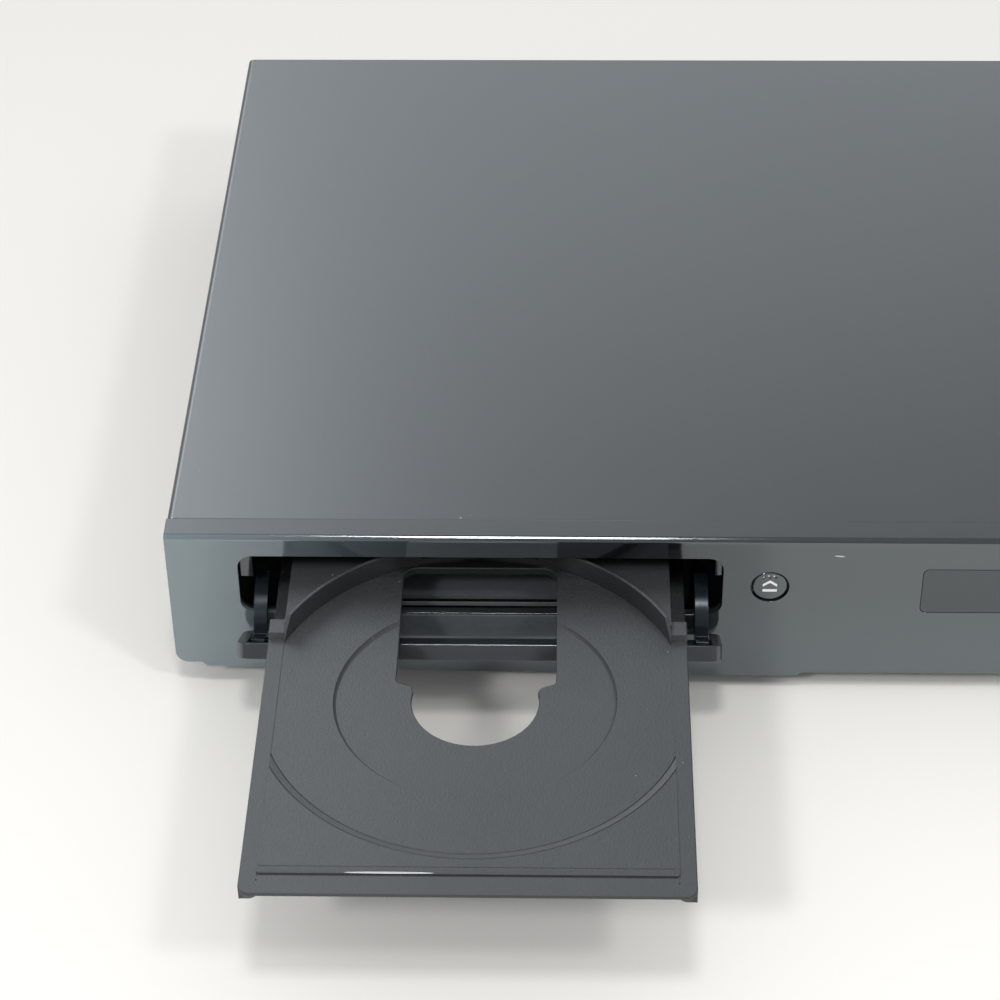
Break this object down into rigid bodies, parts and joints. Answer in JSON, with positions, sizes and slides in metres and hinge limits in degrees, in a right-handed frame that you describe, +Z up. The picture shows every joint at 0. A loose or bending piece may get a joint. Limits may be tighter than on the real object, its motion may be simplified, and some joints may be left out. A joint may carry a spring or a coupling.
{
  "type": "blu-ray disc player",
  "caption": "Low wide home disc player with a front-loading sliding tray, a drop-down tray door, round push keys, a display window and rear sockets, on four round feet",
  "frame": {"origin": "centre of the bounding box at the level of the table, tray out as in the picture", "axes": "+X to the right seen from the front, -Y out of the front, +Z up"},
  "size_m": [0.4332, 0.4132, 0.06],
  "materials": {
    "top_cover": "satin black painted sheet steel",
    "base_pan": "zinc coated sheet steel",
    "rear_panel": "black painted sheet steel",
    "socket_plate": "black painted sheet steel",
    "fascia": "polished black ABS",
    "display_window": "smoked acrylic",
    "display_module": "display glass",
    "front_board": "circuit board",
    "door_bracket_left": "black ABS",
    "door_bracket_right": "black ABS",
    "drive_frame": "black ABS",
    "clamper_bridge": "pressed steel",
    "loading_motor": "steel can",
    "drive_belt": "square rubber belt",
    "main_board": "circuit board",
    "board_chips": "moulded chips",
    "heat_sink": "extruded fins",
    "flat_cable": "flat flexible cable",
    "power_board": "circuit board",
    "power_transformer": "taped winding on ferrite",
    "power_capacitors": "sleeved capacitors",
    "standoffs": "brass standoffs",
    "board_screws": "screws",
    "hdmi_socket": "plated shell",
    "lan_socket": "plated shell",
    "optical_socket": "black plastic",
    "av_jacks": "black plastic block",
    "mains_inlet": "black plastic",
    "fan_housing": "black plastic",
    "rubber_feet": "black rubber",
    "cover_screws": "black screws",
    "rear_screws": "black screws",
    "tray": "fine textured dark grey ABS",
    "door_skin": "polished black ABS",
    "door_frame": "black ABS",
    "eject_button": "black ABS",
    "stop_button": "black ABS",
    "play_button": "black ABS",
    "power_button": "black ABS",
    "drive_gear": "white acetal",
    "motor_pulley": "white acetal",
    "cam_slide": "white acetal",
    "traverse": "pressed steel",
    "guide_rods": "ground steel rods",
    "spindle_motor": "steel can",
    "sled_motor": "steel can",
    "turntable": "black plastic hub",
    "clamper_puck": "black plastic puck with magnet",
    "pickup_sled": "cast sled",
    "objective_lens": "lens",
    "lead_screw": "steel screw",
    "fan_rotor": "black plastic"
  },
  "bodies": {
    "chassis": {"top_cover": "top_cover", "base_pan": "base_pan", "rear_panel": "rear_panel", "socket_plate": "socket_plate", "fascia": "fascia", "display_window": "display_window", "display_module": "display_module", "front_board": "front_board", "door_bracket_left": "door_bracket_left", "door_bracket_right": "door_bracket_right", "drive_frame": "drive_frame", "clamper_bridge": "clamper_bridge", "loading_motor": "loading_motor", "drive_belt": "drive_belt", "main_board": "main_board", "board_chips": "board_chips", "heat_sink": "heat_sink", "flat_cable": "flat_cable", "power_board": "power_board", "power_transformer": "power_transformer", "power_capacitors": "power_capacitors", "standoffs": "standoffs", "board_screws": "board_screws", "hdmi_socket": "hdmi_socket", "lan_socket": "lan_socket", "optical_socket": "optical_socket", "av_jacks": "av_jacks", "mains_inlet": "mains_inlet", "fan_housing": "fan_housing", "rubber_feet": "rubber_feet", "cover_screws": "cover_screws", "rear_screws": "rear_screws"},
    "tray": {"tray": "tray"},
    "door": {"door_skin": "door_skin", "door_frame": "door_frame"},
    "eject_key": {"eject_button": "eject_button"},
    "stop_key": {"stop_button": "stop_button"},
    "play_key": {"play_button": "play_button"},
    "power_key": {"power_button": "power_button"},
    "gear": {"drive_gear": "drive_gear"},
    "motor_wheel": {"motor_pulley": "motor_pulley"},
    "cam": {"cam_slide": "cam_slide"},
    "traverse": {"traverse": "traverse", "guide_rods": "guide_rods", "spindle_motor": "spindle_motor", "sled_motor": "sled_motor"},
    "turntable": {"turntable": "turntable"},
    "puck": {"clamper_puck": "clamper_puck"},
    "sled": {"pickup_sled": "pickup_sled", "objective_lens": "objective_lens"},
    "screw": {"lead_screw": "lead_screw"},
    "fan": {"fan_rotor": "fan_rotor"}
  },
  "joints": [
    {"name": "tray_slide", "type": "slide", "parent": "chassis", "child": "tray", "axis": [0, 1, 0], "range_m": [0, 0.134]},
    {"name": "door_hinge", "type": "hinge", "parent": "chassis", "child": "door", "pos_m": [-0.121, -0.07175, 0.0224], "axis": [1, 0, 0], "range_deg": [0, 24], "stiffness_Nm_per_rad": 0.004, "springref_deg": -58.7},
    {"name": "eject_press", "type": "slide", "parent": "chassis", "child": "eject_key", "axis": [0, 1, 0], "range_m": [0, 0.0006], "stiffness_N_per_m": 300},
    {"name": "stop_press", "type": "slide", "parent": "chassis", "child": "stop_key", "axis": [0, 1, 0], "range_m": [0, 0.0006], "stiffness_N_per_m": 300},
    {"name": "play_press", "type": "slide", "parent": "chassis", "child": "play_key", "axis": [0, 1, 0], "range_m": [0, 0.0006], "stiffness_N_per_m": 300},
    {"name": "power_press", "type": "slide", "parent": "chassis", "child": "power_key", "axis": [0, 1, 0], "range_m": [0, 0.0006], "stiffness_N_per_m": 300},
    {"name": "gear_spin", "type": "hinge", "parent": "chassis", "child": "gear", "pos_m": [-0.085, -0.0404, 0.037], "axis": [0, 0, 1], "range_deg": [0, 770]},
    {"name": "motor_wheel_spin", "type": "hinge", "parent": "chassis", "child": "motor_wheel", "pos_m": [-0.131, -0.0404, 0.033], "axis": [0, 0, 1], "range_deg": [0, 3350]},
    {"name": "cam_shift", "type": "slide", "parent": "chassis", "child": "cam", "axis": [1, 0, 0], "range_m": [0, 0.02]},
    {"name": "traverse_lift", "type": "hinge", "parent": "chassis", "child": "traverse", "pos_m": [-0.121, 0.1009, 0.0236], "axis": [-1, 0, 0], "range_deg": [0, 5.16]},
    {"name": "turntable_spin", "type": "hinge", "parent": "traverse", "child": "turntable", "pos_m": [-0.121, 0.0009, 0.03], "axis": [0, 0, 1], "continuous": true},
    {"name": "puck_spin", "type": "hinge", "parent": "chassis", "child": "puck", "pos_m": [-0.121, 0.0009, 0.054], "axis": [0, 0, 1], "continuous": true},
    {"name": "sled_slide", "type": "slide", "parent": "traverse", "child": "sled", "axis": [0, 1, 0], "range_m": [0, 0.034]},
    {"name": "screw_spin", "type": "hinge", "parent": "traverse", "child": "screw", "pos_m": [-0.088, 0.0509, 0.03], "axis": [0, 1, 0], "range_deg": [0, 4085]},
    {"name": "fan_spin", "type": "hinge", "parent": "chassis", "child": "fan", "pos_m": [-0.075, 0.1926, 0.031], "axis": [0, 1, 0], "continuous": true}
  ],
  "couplings": [
    {"joint": "gear_spin", "follows": "tray_slide", "rad_per_m": 100},
    {"joint": "motor_wheel_spin", "follows": "tray_slide", "rad_per_m": 435.48},
    {"joint": "traverse_lift", "follows": "cam_shift", "rad_per_m": 4.5},
    {"joint": "screw_spin", "follows": "sled_slide", "rad_per_m": 2094.4}
  ]
}
